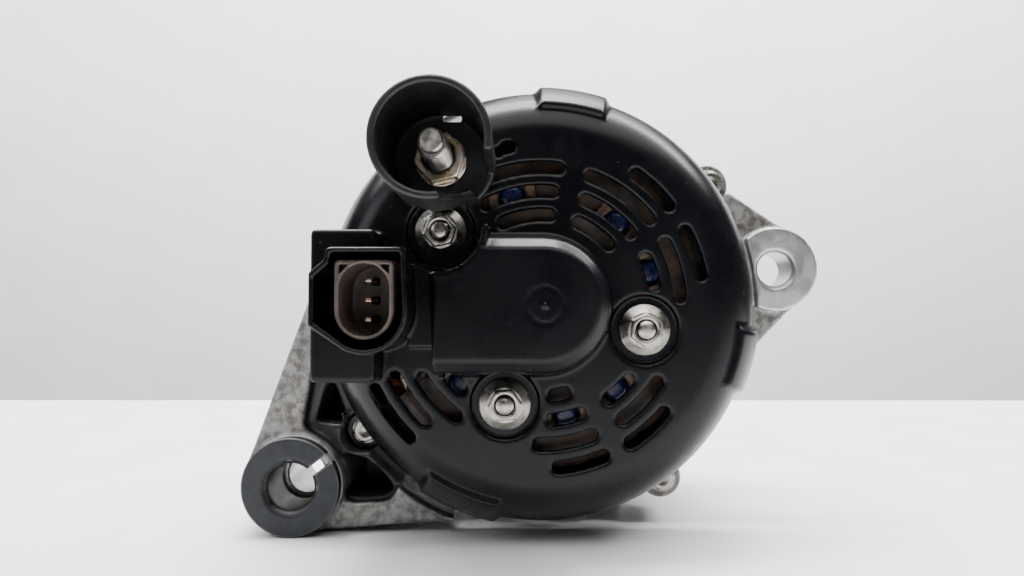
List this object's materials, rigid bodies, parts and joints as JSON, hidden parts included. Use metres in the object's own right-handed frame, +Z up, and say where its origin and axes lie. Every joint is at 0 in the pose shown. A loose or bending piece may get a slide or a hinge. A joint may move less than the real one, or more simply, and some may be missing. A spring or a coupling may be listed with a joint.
{
  "type": "car alternator",
  "caption": "Compact car alternator with a moulded rear cover, two die-cast brackets with mounting lugs, a claw-pole rotor and a ribbed belt pulley.",
  "frame": {"origin": "middle of the bounding box, at the height of the surface it stands on", "axes": "+Z up, +Y along the shaft towards the pulley, +X to the right for someone who looks at the rear cover"},
  "size_m": [0.1826, 0.174, 0.1373],
  "materials": {
    "cover_plastic": "satin black moulding",
    "connector_plastic": "matte beige moulding",
    "inner_plastic": "matte brown moulding",
    "cast_aluminium": "die cast, shot blasted",
    "zinc_steel": "bright zinc plate",
    "yellow_zinc": "yellow passivated zinc plate",
    "steel": "machined",
    "bush_steel": "black phosphated",
    "lamination": "stacked sheet, bare",
    "enamelled_copper": "enamelled wire under varnish",
    "copper": "bare, polished by use",
    "carbon": "pressed carbon",
    "diode_resin": "blue potting resin",
    "iron": "forged, bare"
  },
  "bodies": {
    "housing": {"bearing_retainer": "steel", "brush_holder": "inner_plastic", "brush_spring_1": "steel", "brush_spring_2": "steel", "connector_pin_1": "copper", "connector_pin_2": "copper", "connector_pin_3": "copper", "cover_nut_1": "zinc_steel", "cover_nut_2": "zinc_steel", "cover_nut_3": "zinc_steel", "cover_stud_1": "zinc_steel", "cover_stud_2": "zinc_steel", "cover_stud_3": "zinc_steel", "diode_1": "diode_resin", "diode_2": "diode_resin", "diode_3": "diode_resin", "diode_4": "diode_resin", "diode_5": "diode_resin", "diode_6": "diode_resin", "front_bearing_outer_race": "steel", "front_bracket": "cast_aluminium", "negative_heat_sink": "cast_aluminium", "positive_heat_sink": "cast_aluminium", "rear_bearing_outer_race": "steel", "rear_bracket": "cast_aluminium", "rear_cover": "cover_plastic", "rectifier_terminal_block": "inner_plastic", "regulator_body": "cast_aluminium", "regulator_connector": "connector_plastic", "retainer_screw_1": "zinc_steel", "retainer_screw_2": "zinc_steel", "retainer_screw_3": "zinc_steel", "stator_core": "lamination", "stator_winding": "enamelled_copper", "terminal_insulator": "cover_plastic", "terminal_nut": "yellow_zinc", "terminal_stud": "steel", "through_bolt_1": "zinc_steel", "through_bolt_2": "zinc_steel", "through_bolt_3": "zinc_steel", "through_bolt_4": "zinc_steel"},
    "rotor": {"rotor_shaft": "steel", "rear_pole_claw": "iron", "front_pole_claw": "iron", "field_coil": "enamelled_copper", "rear_fan": "zinc_steel", "front_fan": "zinc_steel", "slip_ring_hub": "inner_plastic", "slip_ring_1": "copper", "slip_ring_2": "copper", "pulley": "steel", "pulley_nut": "zinc_steel", "rear_bearing_inner_race": "steel", "front_bearing_inner_race": "steel"},
    "rear_cage": {"rear_bearing_cage": "steel"},
    "front_cage": {"front_bearing_cage": "steel"},
    "brush_1": {"brush_1": "carbon"},
    "brush_2": {"brush_2": "carbon"},
    "lug_bush": {"lug_bush": "bush_steel"}
  },
  "joints": [
    {"name": "rotor_spin", "type": "hinge", "parent": "housing", "child": "rotor", "pos_m": [0.0004, 0, 0.0703], "axis": [0, 1, 0], "continuous": true},
    {"name": "rear_cage_spin", "type": "hinge", "parent": "housing", "child": "rear_cage", "pos_m": [0.0004, 0, 0.0703], "axis": [0, 1, 0], "continuous": true},
    {"name": "front_cage_spin", "type": "hinge", "parent": "housing", "child": "front_cage", "pos_m": [0.0004, 0, 0.0703], "axis": [0, 1, 0], "continuous": true},
    {"name": "brush_1_slide", "type": "slide", "parent": "housing", "child": "brush_1", "axis": [-1, 0, 0], "range_m": [0, 0.004], "stiffness_N_per_m": 200, "springref_m": -0.01, "deforming": ["brush_spring_1"]},
    {"name": "brush_2_slide", "type": "slide", "parent": "housing", "child": "brush_2", "axis": [-1, 0, 0], "range_m": [0, 0.004], "stiffness_N_per_m": 200, "springref_m": -0.01, "deforming": ["brush_spring_2"]},
    {"name": "lug_bush_slide", "type": "slide", "parent": "housing", "child": "lug_bush", "axis": [0, -1, 0], "range_m": [0, 0.002]}
  ],
  "couplings": [
    {"joint": "rear_cage_spin", "follows": "rotor_spin", "ratio": 0.384},
    {"joint": "front_cage_spin", "follows": "rotor_spin", "ratio": 0.3688}
  ]
}
